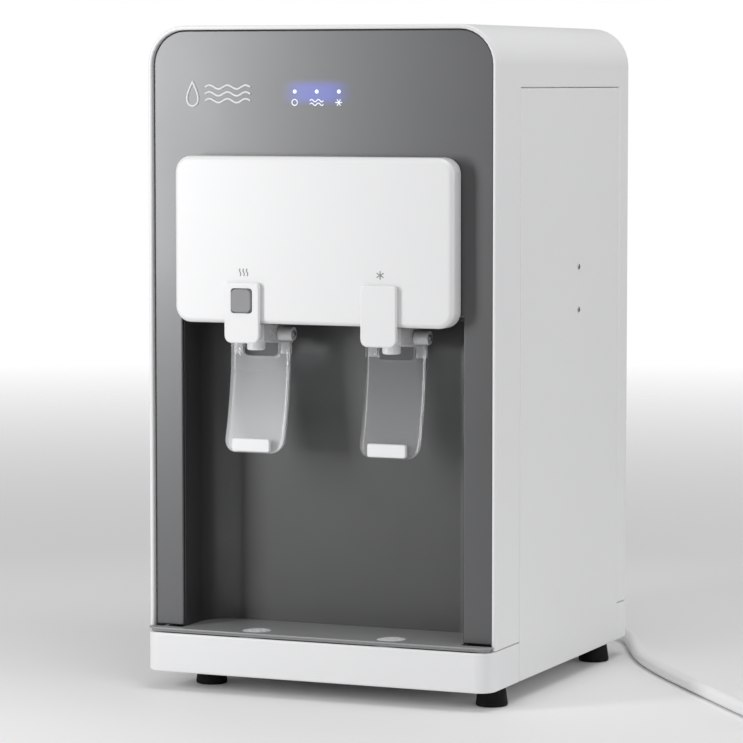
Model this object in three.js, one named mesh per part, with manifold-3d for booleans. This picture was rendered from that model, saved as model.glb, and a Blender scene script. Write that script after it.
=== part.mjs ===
// Countertop hot and cold water dispenser, fed by a hose from a bottle that stands beside it.
// Units are millimetres. +X is the user's right, -Y is the front, +Z is up, and the feet stand on z = 0.
import * as THREE from "three";
import { mergeVertices } from "three/addons/utils/BufferGeometryUtils.js";
import Module from "manifold-3d";

// ---------------------------------------------------------------- driving dimensions
const GAP = 0.3; // clearance between pieces that touch
const HALF_WIDTH = 128;
const TOP = 456;
const WALL = 3;

const FOOT_HEIGHT = 13;
const FOOT_RADIUS = 11;
const FEET = {
  foot_front_left: [-97, -94],
  foot_front_right: [116, -103],
  foot_rear_left: [-97, 101],
  foot_rear_right: [116, 101],
};

const BASE_FRONT = -137;
const BASE_TOP = 40;
const BASE_CORNER = 12;

const COVER_FRONT = -127.5;
const COVER_BACK = 137;
const COVER_CORNER = 27;
const SIDE_PANEL = { front: -82, back: 118, top: 414 };

const PANEL_FRONT = -124.5; // face of the grey front panel
const PANEL_BACK = PANEL_FRONT + WALL;
const REAR_PANEL_BACK = 136;

const NICHE_HALF = 103.5;
const NICHE_BACK = -76;
const NICHE_TOP = 259.5;
const NICHE_FILLET = 22;
const LINER_WALL = 2.5;

const LID_TOP = 43.5;
const LID_HALF = 127;
const LID_LIP = { height: 1.3, rebate: 1.8 };
const DRAIN_Y = -121;
const DRAIN_RADIUS = 10;

const TAP_BOX = { half: 102, front: -140, bottom: 255, top: 368, corner: 11 };
const TAP_X = 50; // each tap stands this far from the middle
const NOZZLE_Y = -120;
const NOZZLE_BOTTOM = 236;
const TAP_COVER = { half: 13, bottom: 242, top: 283, front: -143.8 };
const LOCK_BUTTON = { half: 7.5, bottom: 262.7, top: 278.7, front: -145 };

const HINGE = { y: -112, z: 247 }; // lever axis, which runs along X
const BARREL_RADIUS = 4.7;
const PIN_RADIUS = 2;
const LEVER = { half: 22, bottom: 166, top: 241.5, thickness: 3.2, sweep: 12.5, corner: 9 };
const STEM_Y = -101;

const DISPLAY = { left: -30, right: 24, bottom: 400, top: 421.5, ledZ: 411.4, leds: [-18.9, -2.7, 13.5] };

const DECK_Z = 200; // shelf of the inner frame
const COLD_TANK = { x: 52, y: -5, radius: 45, foam: 56, bottom: 212, top: 338 };
const HOT_TANK = { x: -62, y: 0, radius: 42, bottom: 200.3, top: 315 };
const COOLER_Z = 275; // middle of the cold plate, heat sink and fan
const FAN_HALF = 46;

const INLET = { x: 20, z: 54 };
const DRAIN_PLUG = { x: -62, z: 60 };
const SOCKET = { x: -74, z: 150 };
const SWITCHES = { hot_switch: -92, cold_switch: -58 };
const SWITCH_Z = 205;
const SWITCH_TILT = (8 * Math.PI) / 180;

const HOSE_RADIUS = 4.75;
const COIL = { x: 349, y: -72, radius: 52.5, layers: 2 };

// ---------------------------------------------------------------- materials
function material(color, roughness, metalness = 0, opacity = 1) {
  return new THREE.MeshStandardMaterial({ color, roughness, metalness, opacity, transparent: opacity < 1 });
}
const WHITE = material(0xf1f2f3, 0.35);
const GREY = material(0x7c7f80, 0.3, 0.4);
const DARK = material(0x3c3f41, 0.45);
const TAP_GREY = material(0x8d9092, 0.5);
const CLEAR = material(0xe8edf0, 0.05, 0, 0.35);
const RUBBER = material(0x111111, 0.85);
const STEEL = material(0xb9bcbe, 0.3, 1);
const ALUMINIUM = material(0xa9adb0, 0.4, 1);
const FOAM = material(0xe4e4de, 0.9);
const BLACK = material(0x1b1c1e, 0.5);
const BOARD = material(0x1e5a38, 0.6);
const HOSE = material(0xe9ebea, 0.35, 0, 0.8);
const BUTTON_GREY = material(0x7b7d80, 0.5);
const RED = material(0xb3261c, 0.4);
const GREEN = material(0x1f7a45, 0.4);
const WINDOW = material(0x585c66, 0.15);

// ---------------------------------------------------------------- solid helpers
const wasm = await Module();
wasm.setup();

function toSolid(geometry) {
  const plain = geometry.index ? geometry.toNonIndexed() : geometry;
  plain.deleteAttribute("normal");
  plain.deleteAttribute("uv");
  const merged = mergeVertices(plain, 1e-4);
  const vertProperties = merged.attributes.position.array;
  const triVerts = new Uint32Array(merged.index.array);
  return new wasm.Manifold(new wasm.Mesh({ numProp: 3, vertProperties, triVerts }));
}

function add(...solids) {
  return solids.reduce((whole, next) => whole.add(next));
}

function cut(solid, ...tools) {
  return tools.reduce((rest, tool) => rest.subtract(tool), solid);
}

function box([x0, x1], [y0, y1], [z0, z1]) {
  const geometry = new THREE.BoxGeometry(x1 - x0, y1 - y0, z1 - z0);
  return toSolid(geometry.translate((x0 + x1) / 2, (y0 + y1) / 2, (z0 + z1) / 2));
}

// A round bar from a start point along +X, +Y or +Z; endRadius makes it a cone.
function rod(axis, radius, [x, y, z], length, sides = 24, endRadius = radius) {
  const geometry = new THREE.CylinderGeometry(endRadius, radius, length, sides).translate(0, length / 2, 0);
  if (axis === "x") geometry.rotateZ(-Math.PI / 2);
  if (axis === "z") geometry.rotateX(Math.PI / 2);
  return toSolid(geometry.translate(x, y, z));
}

// A turned piece: the profile is a list of [radius, height] points that starts and ends on the axis,
// or closes on itself.
function turned(axis, profile, [x, y, z], sides = 24) {
  const points = profile.map(([r, h]) => new THREE.Vector2(r, h));
  const geometry = new THREE.LatheGeometry(points, sides);
  if (axis === "x") geometry.rotateZ(-Math.PI / 2);
  if (axis === "z") geometry.rotateX(Math.PI / 2);
  return toSolid(geometry.translate(x, y, z));
}

const PLANES = {
  xy: [new THREE.Vector3(1, 0, 0), new THREE.Vector3(0, 1, 0), new THREE.Vector3(0, 0, 1)],
  xz: [new THREE.Vector3(1, 0, 0), new THREE.Vector3(0, 0, 1), new THREE.Vector3(0, -1, 0)],
  yz: [new THREE.Vector3(0, 1, 0), new THREE.Vector3(0, 0, 1), new THREE.Vector3(1, 0, 0)],
};

// An outline drawn in a plane and pushed through from one place to another along the third axis.
function plate(plane, outline, from, to, { chamfer = 0, segments = 6 } = {}) {
  const depth = to - from - 2 * chamfer;
  const geometry = new THREE.ExtrudeGeometry(outline, {
    depth,
    curveSegments: Math.ceil(segments / 2),
    bevelEnabled: chamfer > 0,
    bevelSize: chamfer,
    bevelOffset: -chamfer,
    bevelThickness: chamfer,
    bevelSegments: 1,
  });
  const start = plane === "xz" ? -(to - chamfer) : from + chamfer;
  geometry.translate(0, 0, start);
  geometry.applyMatrix4(new THREE.Matrix4().makeBasis(...PLANES[plane]));
  return toSolid(geometry);
}

// A rectangle whose corners are rounded by the radii [low-left, low-right, top-right, top-left].
function roundedRect(x0, x1, y0, y1, radii) {
  const [a, b, c, d] = Array.isArray(radii) ? radii : [radii, radii, radii, radii];
  const shape = new THREE.Shape();
  shape.moveTo(x0 + a, y0);
  shape.lineTo(x1 - b, y0);
  if (b) shape.absarc(x1 - b, y0 + b, b, -Math.PI / 2, 0, false);
  shape.lineTo(x1, y1 - c);
  if (c) shape.absarc(x1 - c, y1 - c, c, 0, Math.PI / 2, false);
  shape.lineTo(x0 + d, y1);
  if (d) shape.absarc(x0 + d, y1 - d, d, Math.PI / 2, Math.PI, false);
  shape.lineTo(x0, y0 + a);
  if (a) shape.absarc(x0 + a, y0 + a, a, Math.PI, 1.5 * Math.PI, false);
  return shape;
}

function polygon(points) {
  return new THREE.Shape(points.map(([x, y]) => new THREE.Vector2(x, y)));
}

function tube(points, radius, steps, sides = 8) {
  const path = new THREE.CatmullRomCurve3(points.map((p) => new THREE.Vector3(...p)), false, "centripetal");
  const section = new THREE.Shape();
  section.absarc(0, 0, radius, 0, 2 * Math.PI, false);
  const settings = { steps, extrudePath: path, bevelEnabled: false, curveSegments: sides / 2 };
  return toSolid(new THREE.ExtrudeGeometry(section, settings));
}

const dispenser = new THREE.Group();

function place(name, solid, finish, parent = dispenser) {
  const { vertProperties, triVerts } = solid.getMesh();
  const geometry = new THREE.BufferGeometry();
  geometry.setAttribute("position", new THREE.BufferAttribute(vertProperties, 3));
  geometry.setIndex(new THREE.BufferAttribute(triVerts, 1));
  const mesh = new THREE.Mesh(geometry, finish);
  mesh.name = name;
  parent.add(mesh);
  return mesh;
}

// ---------------------------------------------------------------- housing
function outerCover() {
  const bottom = BASE_TOP + GAP;
  const inner = HALF_WIDTH - WALL;
  const outside = roundedRect(-HALF_WIDTH, HALF_WIDTH, bottom, TOP, [0, 0, COVER_CORNER, COVER_CORNER]);
  const innerCorner = COVER_CORNER - WALL;
  const inside = roundedRect(-inner, inner, bottom - 1, TOP - WALL, [0, 0, innerCorner, innerCorner]);
  const shell = cut(
    plate("xz", outside, COVER_FRONT, COVER_BACK, { segments: 8 }),
    plate("xz", inside, COVER_FRONT - 1, COVER_BACK + 1, { segments: 8 }),
  );
  const reach = HALF_WIDTH + 1;
  const recess = box([-reach, reach], [SIDE_PANEL.front, SIDE_PANEL.back], [bottom - 1, SIDE_PANEL.top]);
  return cut(shell, recess);
}

function sidePanel(side) {
  const inner = HALF_WIDTH - WALL;
  const [low, high] = side > 0 ? [inner, HALF_WIDTH] : [-HALF_WIDTH, -inner];
  const front = SIDE_PANEL.front + GAP;
  const back = SIDE_PANEL.back - GAP;
  return box([low, high], [front, back], [FOOT_HEIGHT + GAP, SIDE_PANEL.top - GAP]);
}

function baseTray() {
  const inner = HALF_WIDTH - WALL - GAP;
  const { front, back } = SIDE_PANEL;
  const outline = roundedRect(-HALF_WIDTH, HALF_WIDTH, BASE_FRONT, COVER_BACK, [BASE_CORNER, BASE_CORNER, 0, 0]);
  const hollowHalf = 121.5;
  const hollow = roundedRect(-hollowHalf, hollowHalf, BASE_FRONT + WALL, COVER_BACK - WALL, [8, 8, 0, 0]);
  const block = plate("xy", outline, FOOT_HEIGHT, BASE_TOP);
  const pan = cut(
    block,
    plate("xy", hollow, FOOT_HEIGHT + WALL, BASE_TOP + 1),
    box([inner, HALF_WIDTH + 1], [front, back], [0, BASE_TOP + 1]),
    box([-HALF_WIDTH - 1, -inner], [front, back], [0, BASE_TOP + 1]),
  );
  const partition = box([-hollowHalf - 1, hollowHalf + 1], [NICHE_BACK + 1, NICHE_BACK + 3.5], [14, BASE_TOP]);
  return add(pan, partition);
}

function foot([x, y]) {
  const height = FOOT_HEIGHT - GAP;
  const profile = [
    [0, 0],
    [FOOT_RADIUS - 0.8, 0],
    [FOOT_RADIUS, 1],
    [FOOT_RADIUS - 1.6, height],
    [0, height],
  ];
  return turned("z", profile, [x, y, 0]);
}

function backPanel() {
  const half = HALF_WIDTH - WALL - GAP;
  const corner = COVER_CORNER - WALL - GAP;
  const outline = roundedRect(-half, half, BASE_TOP + GAP, TOP - WALL - GAP, [0, 0, corner, corner]);
  const front = REAR_PANEL_BACK - WALL;
  const slab = plate("xz", outline, front, REAR_PANEL_BACK, { segments: 8 });
  const through = [front - 1, REAR_PANEL_BACK + 1];
  const slots = [];
  const pitch = 8;
  for (let row = -6; row <= 6; row += 1) {
    const z = COOLER_Z + row * pitch;
    slots.push(box([COLD_TANK.x - 45, COLD_TANK.x + 45], through, [z - 1.8, z + 1.8]));
  }
  for (let row = 0; row < 5; row += 1) {
    const z = 400 + row * pitch;
    slots.push(box([-70, 70], through, [z - 1.8, z + 1.8]));
  }
  const holes = [
    rod("y", 9.3, [INLET.x, front - 1, INLET.z], WALL + 2),
    rod("y", 6.8, [DRAIN_PLUG.x, front - 1, DRAIN_PLUG.z], WALL + 2),
    box([SOCKET.x - 15.3, SOCKET.x + 15.3], through, [SOCKET.z - 11.3, SOCKET.z + 11.3]),
  ];
  for (const x of Object.values(SWITCHES)) {
    holes.push(box([x - 7.5, x + 7.5], through, [SWITCH_Z - 12.5, SWITCH_Z + 12.5]));
  }
  return cut(slab, ...slots, ...holes);
}

function frontPanel() {
  const half = HALF_WIDTH - WALL - GAP;
  const corner = COVER_CORNER - WALL - GAP;
  const outline = roundedRect(-half, half, LID_TOP + GAP, TOP - WALL - GAP, [0, 0, corner, corner]);
  const slab = plate("xz", outline, PANEL_FRONT, PANEL_BACK, { segments: 8 });
  const through = [PANEL_FRONT - 1, PANEL_BACK + 1];
  const niche = box([-NICHE_HALF, NICHE_HALF], through, [0, NICHE_TOP + LINER_WALL]);
  const window = box([DISPLAY.left, DISPLAY.right], through, [DISPLAY.bottom, DISPLAY.top]);
  const tapSlots = [-TAP_X, TAP_X].map((x) => box([x - 16, x + 16], through, [NICHE_TOP, 306]));
  return cut(slab, niche, window, ...tapSlots);
}

function nicheLiner() {
  const outer = NICHE_HALF + LINER_WALL;
  const front = PANEL_BACK + GAP;
  const bottom = BASE_TOP + GAP;
  const outside = roundedRect(-outer, outer, front, NICHE_BACK + LINER_WALL, [0, 0, NICHE_FILLET, NICHE_FILLET]);
  const inside = roundedRect(-NICHE_HALF, NICHE_HALF, front - 2, NICHE_BACK, [0, 0, NICHE_FILLET, NICHE_FILLET]);
  const shell = cut(
    plate("xy", outside, bottom, NICHE_TOP + LINER_WALL, { segments: 6 }),
    plate("xy", inside, bottom - 1, NICHE_TOP, { segments: 6 }),
  );
  const notches = [-TAP_X, TAP_X].map((x) => box([x - 14.5, x + 14.5], [front - 1, -90], [250, 270]));
  return cut(shell, ...notches);
}

// ---------------------------------------------------------------- tap box and taps
function tapBoxCover() {
  const { half, front, bottom, top, corner } = TAP_BOX;
  const back = PANEL_FRONT - GAP;
  const wall = 2.5;
  const outer = roundedRect(-half, half, bottom, top, corner);
  const inner = roundedRect(-half + wall, half - wall, bottom + wall, top - wall, corner - wall);
  const shell = cut(
    plate("xz", outer, front, back + 2.4, { chamfer: 2.4, segments: 5 }),
    plate("xz", inner, front + wall, back + 3, { segments: 5 }),
    box([-half - 1, half + 1], [back, back + 4], [bottom - 1, top + 1]),
  );
  const tapSlots = [-TAP_X, TAP_X].map((x) => box([x - 14, x + 14], [front + wall + 0.5, back + 1], [250, 260]));
  const { half: h, bottom: low, top: high } = LOCK_BUTTON;
  const buttonHole = box([-TAP_X - h - 0.4, -TAP_X + h + 0.4], [front - 1, front + 4], [low - 0.4, high + 0.4]);
  return cut(shell, ...tapSlots, buttonHole);
}

function tapCover(x, withButton) {
  const { half, bottom, top, front } = TAP_COVER;
  const outline = roundedRect(x - half, x + half, bottom, top, [5, 5, 3, 3]);
  const face = plate("xz", outline, front, TAP_BOX.front - GAP, { chamfer: 0.8, segments: 4 });
  const heelOutline = roundedRect(x - half + 1, x + half - 1, bottom + 1, TAP_BOX.bottom - GAP, [4, 4, 0, 0]);
  const heel = plate("xz", heelOutline, front + 1, -136.9, { segments: 4 });
  if (!withButton) return add(face, heel);
  const { half: h, bottom: low, top: high } = LOCK_BUTTON;
  const hole = box([x - h - 0.4, x + h + 0.4], [front - 1, TAP_BOX.front], [low - 0.4, high + 0.4]);
  return cut(add(face, heel), hole);
}

function lockButton() {
  const { half, bottom, top, front } = LOCK_BUTTON;
  const outline = roundedRect(-TAP_X - half, -TAP_X + half, bottom, top, 2.5);
  return plate("xz", outline, front, -133, { chamfer: 0.7, segments: 3 });
}

function tapBody(x) {
  const lower = box([x - 13.5, x + 13.5], [-136.6, -107], [NOZZLE_BOTTOM + 7.5, 258]);
  const upper = box([x - 13, x + 13], [-130, -107], [257, 300]);
  const valveHousing = box([x - 9, x + 9], [-110, -92], [252, 288]);
  const barb = rod("z", 3.5, [x, -113, 299], 13, 12);
  return cut(
    add(lower, upper, valveHousing, barb),
    rod("z", 4.2, [x, NOZZLE_Y, 240], 15, 16),
    rod("x", PIN_RADIUS + GAP, [x - 15, HINGE.y, HINGE.z], 30, 16),
    rod("z", 3.4, [x, STEM_Y, 250], 13, 16),
    rod("z", 6, [x, STEM_Y, 261.5], 22.5, 16),
  );
}

function nozzle(x) {
  const profile = [
    [4.2, 0],
    [5.6, 0],
    [6.4, 1],
    [6.4, 7.2],
    [4.2, 7.2],
    [4.2, 0],
  ];
  return turned("z", profile, [x, NOZZLE_Y, NOZZLE_BOTTOM]);
}

// Where the middle of the lever sheet lies at a height: straight at the top and swept forward below.
function leverSweep(z) {
  const fall = (LEVER.top - z) / (LEVER.top - LEVER.bottom);
  return HINGE.y - LEVER.sweep * fall * fall;
}

function lever(x) {
  const { half, bottom, top, thickness, corner } = LEVER;
  const count = 8;
  const heights = Array.from({ length: count + 1 }, (_, i) => top - ((top - bottom) * i) / count);
  const frontSide = heights.map((z) => [leverSweep(z) - thickness / 2, z]);
  const backSide = heights.map((z) => [leverSweep(z) + thickness / 2, z]).reverse();
  const sheet = plate("yz", polygon([...frontSide, ...backSide]), x - half, x + half);
  const outline = roundedRect(x - half, x + half, bottom, top + 1, [corner, corner, 0, 0]);
  const cupSlot = roundedRect(x - 13.2, x + 13.2, 231.5, top + 2, [4, 4, 0, 0]);
  const frontCut = plate("xz", outline, -140, -100);
  return cut(sheet.intersect(frontCut), plate("xz", cupSlot, -141, -99, { segments: 4 }));
}

function leverPad(x) {
  const outline = roundedRect(x - 14, x + 14, 167, 176, 1.5);
  const back = leverSweep(176) - LEVER.thickness / 2 - 2.6;
  return plate("xz", outline, back - 4.2, back, { chamfer: 0.6, segments: 3 });
}

function leverYoke(x) {
  const { y, z } = HINGE;
  const sides = [-1, 1].map((side) => {
    const [inner, outer] = [14, 24.5];
    const start = side > 0 ? x + inner : x - outer;
    const span = (from, to) => (side > 0 ? [x + from, x + to] : [x - to, x - from]);
    const barrel = rod("x", BARREL_RADIUS, [start, y, z], outer - inner, 20);
    const tongue = box(span(inner, 21), [y + 1.9, y + 4.5], [233, z]);
    const cheek = box(span(inner, 18), [y + 1.9, -99], [240, 246]);
    return add(barrel, tongue, cheek);
  });
  const bar = box([x - 18, x + 18], [-105, -99], [240, 246]);
  const bore = rod("x", PIN_RADIUS + GAP, [x - 30, y, z], 60, 16);
  return cut(add(...sides, bar), bore);
}

function hingePin(x) {
  return rod("x", PIN_RADIUS, [x - 25.5, HINGE.y, HINGE.z], 51, 16);
}

function valveStem(x) {
  const rodPart = rod("z", 3, [x, STEM_Y, 246.5], 17, 16);
  const head = rod("z", 5.2, [x, STEM_Y, 262], 2.2, 16);
  const guide = rod("z", 2.4, [x, STEM_Y, 263], 9, 12);
  return add(rodPart, head, guide);
}

function valveSpring(x) {
  const [low, high, turns] = [264.9, 283.2, 5];
  const points = [];
  const count = turns * 8;
  for (let i = 0; i <= count; i += 1) {
    const angle = (i / 8) * 2 * Math.PI;
    const z = low + ((high - low) * i) / count;
    points.push([x + 4.3 * Math.cos(angle), STEM_Y + 4.3 * Math.sin(angle), z]);
  }
  return tube(points, 0.5, count, 6);
}

// ---------------------------------------------------------------- display
function displayWindow() {
  const { left, right, bottom, top } = DISPLAY;
  return box([left + GAP, right - GAP], [PANEL_FRONT, PANEL_FRONT + 1.8], [bottom + GAP, top - GAP]);
}

function displayBoard() {
  const { left, right, bottom, top, ledZ, leds } = DISPLAY;
  const board = box([left - 5, right + 5], [-117, -115.4], [bottom - 4, top + 4]);
  const lamps = leds.map((x) => add(rod("y", 2.5, [x, -121, ledZ], 4.2, 12), rod("y", 1.6, [x, -122.2, ledZ], 2, 12)));
  return add(board, ...lamps);
}

// ---------------------------------------------------------------- drip tray
function trayLid() {
  const { height, rebate } = LID_LIP;
  const [front, back] = [BASE_FRONT + 1, COVER_FRONT - GAP];
  const lip = roundedRect(-LID_HALF, LID_HALF, front, back, [7, 7, 0, 0]);
  const ledge = roundedRect(-LID_HALF + rebate, LID_HALF - rebate, front + rebate, back, [5, 5, 0, 0]);
  const tongueHalf = NICHE_HALF - 0.5;
  const fillet = NICHE_FILLET - 0.5;
  const tongue = roundedRect(-tongueHalf, tongueHalf, COVER_FRONT - 1, NICHE_BACK - 0.5, [0, 0, fillet, fillet]);
  const deck = add(
    plate("xy", lip, LID_TOP - height, LID_TOP),
    plate("xy", ledge, BASE_TOP + GAP, LID_TOP - height / 2),
    plate("xy", tongue, BASE_TOP + GAP, LID_TOP),
  );
  const holes = [-TAP_X, TAP_X].map((x) => rod("z", DRAIN_RADIUS + GAP, [x, DRAIN_Y, 39], 6));
  return cut(deck, ...holes);
}

function drainStrainer(x) {
  const flange = rod("z", DRAIN_RADIUS + 1.5, [x, DRAIN_Y, 38.7], 1.3);
  const disc = rod("z", DRAIN_RADIUS, [x, DRAIN_Y, 39], LID_TOP - 39 - 0.4);
  const holes = [];
  for (let i = 0; i < 6; i += 1) {
    const angle = (i * Math.PI) / 3;
    holes.push(rod("z", 1.1, [x + 5.6 * Math.cos(angle), DRAIN_Y + 5.6 * Math.sin(angle), 38], 6, 8));
  }
  return cut(add(flange, disc), ...holes);
}

function dripTank() {
  const outer = roundedRect(-92, 92, -133, -79, 6);
  const inner = roundedRect(-90, 90, -131, -81, 4);
  const floor = FOOT_HEIGHT + WALL + 1;
  return cut(plate("xy", outer, floor, 38.4, { segments: 3 }), plate("xy", inner, floor + 2, 40, { segments: 3 }));
}

// ---------------------------------------------------------------- inside
function innerFrame() {
  const [legIn, legOut] = [119, 121];
  const sides = [
    box([legIn, legOut], [-68, 125], [FOOT_HEIGHT + WALL + GAP, 310]),
    box([-legOut, -legIn], [-68, 125], [FOOT_HEIGHT + WALL + GAP, 310]),
  ];
  return add(...sides, box([-120, 120], [-68, 125], [DECK_Z - 2, DECK_Z]));
}

function coldTank() {
  const { x, y, radius, bottom, top } = COLD_TANK;
  const body = rod("z", radius, [x, y, bottom], top - bottom, 28);
  const neck = rod("z", 4, [x, y, top - 1], 13, 12);
  return add(body, neck);
}

function coldTankFoam() {
  const { x, y, radius, foam, bottom, top } = COLD_TANK;
  const cup = rod("z", foam, [x, y, DECK_Z + GAP], top - DECK_Z, 28);
  const hollow = rod("z", radius + GAP, [x, y, bottom - GAP], top, 28);
  const plateSlot = box([x - 20.4, x + 20.4], [y, y + 70], [COOLER_Z - 20.4, COOLER_Z + 20.4]);
  return cut(cup, hollow, plateSlot);
}

function coolingModule() {
  const { x } = COLD_TANK;
  const [low, high] = [COOLER_Z - 20, COOLER_Z + 20];
  const coldPlate = box([x - 20, x + 20], [40.5, 52], [low, high]);
  const cell = box([x - 19, x + 19], [51, 56.3], [low + 1, high - 1]);
  return add(coldPlate, cell);
}

function heatSink() {
  const { x } = COLD_TANK;
  const [low, high] = [COOLER_Z - 45, COOLER_Z + 45];
  const plateBack = 62.6;
  const base = box([x - 45, x + 45], [56.6, plateBack], [low, high]);
  const fins = [];
  for (let i = 0; i < 11; i += 1) {
    const left = x - 45 + i * 8.8;
    fins.push(box([left, left + 2], [plateBack - 1, 88], [low, high]));
  }
  return add(base, ...fins);
}

function fanFrame() {
  const { x } = COLD_TANK;
  const [front, back] = [89, 114];
  const outline = roundedRect(x - FAN_HALF, x + FAN_HALF, COOLER_Z - FAN_HALF, COOLER_Z + FAN_HALF, 4);
  const ring = cut(plate("xz", outline, front, back, { segments: 2 }), rod("y", 43, [x, 80, COOLER_Z], 40, 28));
  const motorSeat = rod("y", 15, [x, back - 4, COOLER_Z], 4, 20);
  const strutX = box([x - 44, x + 44], [back - 3, back], [COOLER_Z - 2, COOLER_Z + 2]);
  const strutZ = box([x - 2, x + 2], [back - 3, back], [COOLER_Z - 44, COOLER_Z + 44]);
  return add(ring, motorSeat, strutX, strutZ);
}

function fanRotor() {
  const { x } = COLD_TANK;
  const hub = rod("y", 15, [0, -9, 0], 18, 20);
  const blades = [];
  const count = 7;
  for (let i = 0; i < count; i += 1) {
    const blade = new THREE.BoxGeometry(27, 1.4, 17);
    blade.rotateX(0.6);
    blade.translate(27, 0, 0);
    blade.rotateY((i * 2 * Math.PI) / count);
    blades.push(toSolid(blade));
  }
  return add(hub, ...blades).translate(x, 99.5, COOLER_Z);
}

function hotTank() {
  const { x, y, radius, bottom, top } = HOT_TANK;
  const body = rod("z", radius, [x, y, bottom], top - bottom, 28);
  const neck = rod("z", 4, [x, y, top - 1], 9, 12);
  return add(body, neck);
}

function heaterBand() {
  const { x, y, radius } = HOT_TANK;
  const band = rod("z", radius + 4, [x, y, 222], 30, 28);
  const bore = rod("z", radius + GAP, [x, y, 221], 32, 28);
  const clamp = box([x - 7, x + 7], [y - radius - 10, y - radius - 1], [225, 249]);
  const split = box([x - 1, x + 1], [y - radius - 12, y - radius + 3], [220, 254]);
  return cut(add(band, clamp), bore, split);
}

function feedPump() {
  const { x } = INLET;
  const floor = FOOT_HEIGHT + WALL + GAP;
  const bracket = box([x - 20, x + 20], [36, 86], [floor, floor + 4]);
  const post = box([x - 10, x + 10], [45, 75], [floor, 45]);
  const motor = rod("y", 16, [x, 34, 52], 32, 20);
  const head = box([x - 18, x + 18], [66, 88], [34, 70]);
  return add(bracket, post, motor, head);
}

function controlBoard() {
  const board = box([-114, -112.4], [-30, 85], [60, 175]);
  const transformer = box([-113, -84], [-10, 35], [70, 105]);
  const relays = [120, 142].map((z) => box([-113, -96], [-15, 10], [z, z + 15]));
  const capacitors = [50, 68].map((y) => rod("x", 7, [-113, y, 150], 22, 12));
  return add(board, transformer, ...relays, ...capacitors);
}

function waterTube(points) {
  return tube(points, 4, 18);
}

// ---------------------------------------------------------------- rear fittings
function powerInlet() {
  const { x, z } = SOCKET;
  const flange = box([x - 19, x + 19], [REAR_PANEL_BACK + GAP, 138.5], [z - 14, z + 14]);
  const body = box([x - 15, x + 15], [118, 137], [z - 11, z + 11]);
  const pocket = box([x - 11.5, x + 11.5], [124, 140], [z - 7.5, z + 7.5]);
  const pins = [-7, 0, 7].map((dx) => box([x + dx - 1, x + dx + 1], [123, 136], [z - 2.5, z + 2.5]));
  return add(cut(add(flange, body), pocket), ...pins);
}

// A rocker with one end pressed in, turned about its pivot inside the panel.
function rocker(x) {
  const half = 11.2;
  const outline = polygon([
    [-6, -half],
    [5, -half],
    [3.6, 0],
    [5, half],
    [-6, half],
  ]);
  const solid = plate("yz", outline, -6.8, 6.8);
  return solid.rotate([(SWITCH_TILT * 180) / Math.PI, 0, 0]).translate(x, REAR_PANEL_BACK - 1.5, SWITCH_Z);
}

function inletFitting() {
  const { x, z } = INLET;
  const profile = [
    [0, 0],
    [3.5, 0],
    [3.5, 11],
    [9, 11],
    [9, 19.3],
    [12.5, 19.3],
    [12.5, 23],
    [8.6, 23],
    [8.6, 27],
    [7.6, 28],
    [5.2, 28],
    [5.2, 18],
    [0, 18],
  ];
  return turned("y", profile, [x, 117, z], 20);
}

function drainPlug() {
  const { x, z } = DRAIN_PLUG;
  const shank = rod("y", 6.4, [x, 124, z], 13, 20);
  const head = rod("y", 11.5, [x, REAR_PANEL_BACK + GAP, z], 4, 20);
  const grip = box([x - 2, x + 2], [139, 144.5], [z - 8, z + 8]);
  return add(shank, head, grip);
}

// ---------------------------------------------------------------- bottle hose
// From the fitting straight back, down in a wide turn to the surface, past the rear foot and away to the right.
const HOSE_LEAD = [
  [20, 136, 54],
  [20, 148, 54],
  [20, 160, 54],
  [23, 177.1, 52.4],
  [31.7, 192.1, 47.5],
  [45, 203.3, 39.3],
  [61.3, 209.2, 27.9],
  [78.7, 209.2, 17.2],
  [95, 203.3, 9.9],
  [108.3, 192.1, 5.8],
  [115.5, 181, 4.85],
  [124, 163, 4.85],
  [134, 140.5, 4.85],
  [151, 105, 4.85],
  [168, 77, 4.85],
  [187, 49.5, 4.85],
  [208, 21.5, 4.85],
  [232, -9.5, 4.85],
  [258, -42.5, 4.85],
  [286.4, -78.4, 4.85],
];

function coilRing() {
  const { x, y, radius, layers } = COIL;
  const height = HOSE_RADIUS * 2 * layers;
  const [inner, outer] = [radius - HOSE_RADIUS, radius + HOSE_RADIUS];
  const profile = [
    [inner, 2],
    [inner + 2, 0.05],
    [outer - 2, 0.05],
    [outer, 2],
    [outer, height - 2],
    [outer - 2, height],
    [inner + 2, height],
    [inner, height - 2],
    [inner, 2],
  ];
  return turned("z", profile, [x, y, 0], 28);
}

const HOSE_TAIL = [
  [366.4, -10.6, 12],
  [357, 0.9, 9],
  [347, 12.6, 7.3],
  [336, 26, 7.1],
];

function suctionFoot() {
  const profile = [
    [0, 0],
    [6.2, 0],
    [7, 1],
    [7, 30],
    [5.5, 33],
    [0, 33],
  ];
  return turned("y", profile, [0, 0, 0], 16);
}

// ---------------------------------------------------------------- assembly
place("outer_cover", outerCover(), WHITE);
place("side_panel_right", sidePanel(1), WHITE);
place("side_panel_left", sidePanel(-1), WHITE);
place("back_panel", backPanel(), WHITE);
place("base_tray", baseTray(), WHITE);
for (const [name, spot] of Object.entries(FEET)) place(name, foot(spot), RUBBER);
place("front_panel", frontPanel(), GREY);
place("niche_liner", nicheLiner(), DARK);

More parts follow.
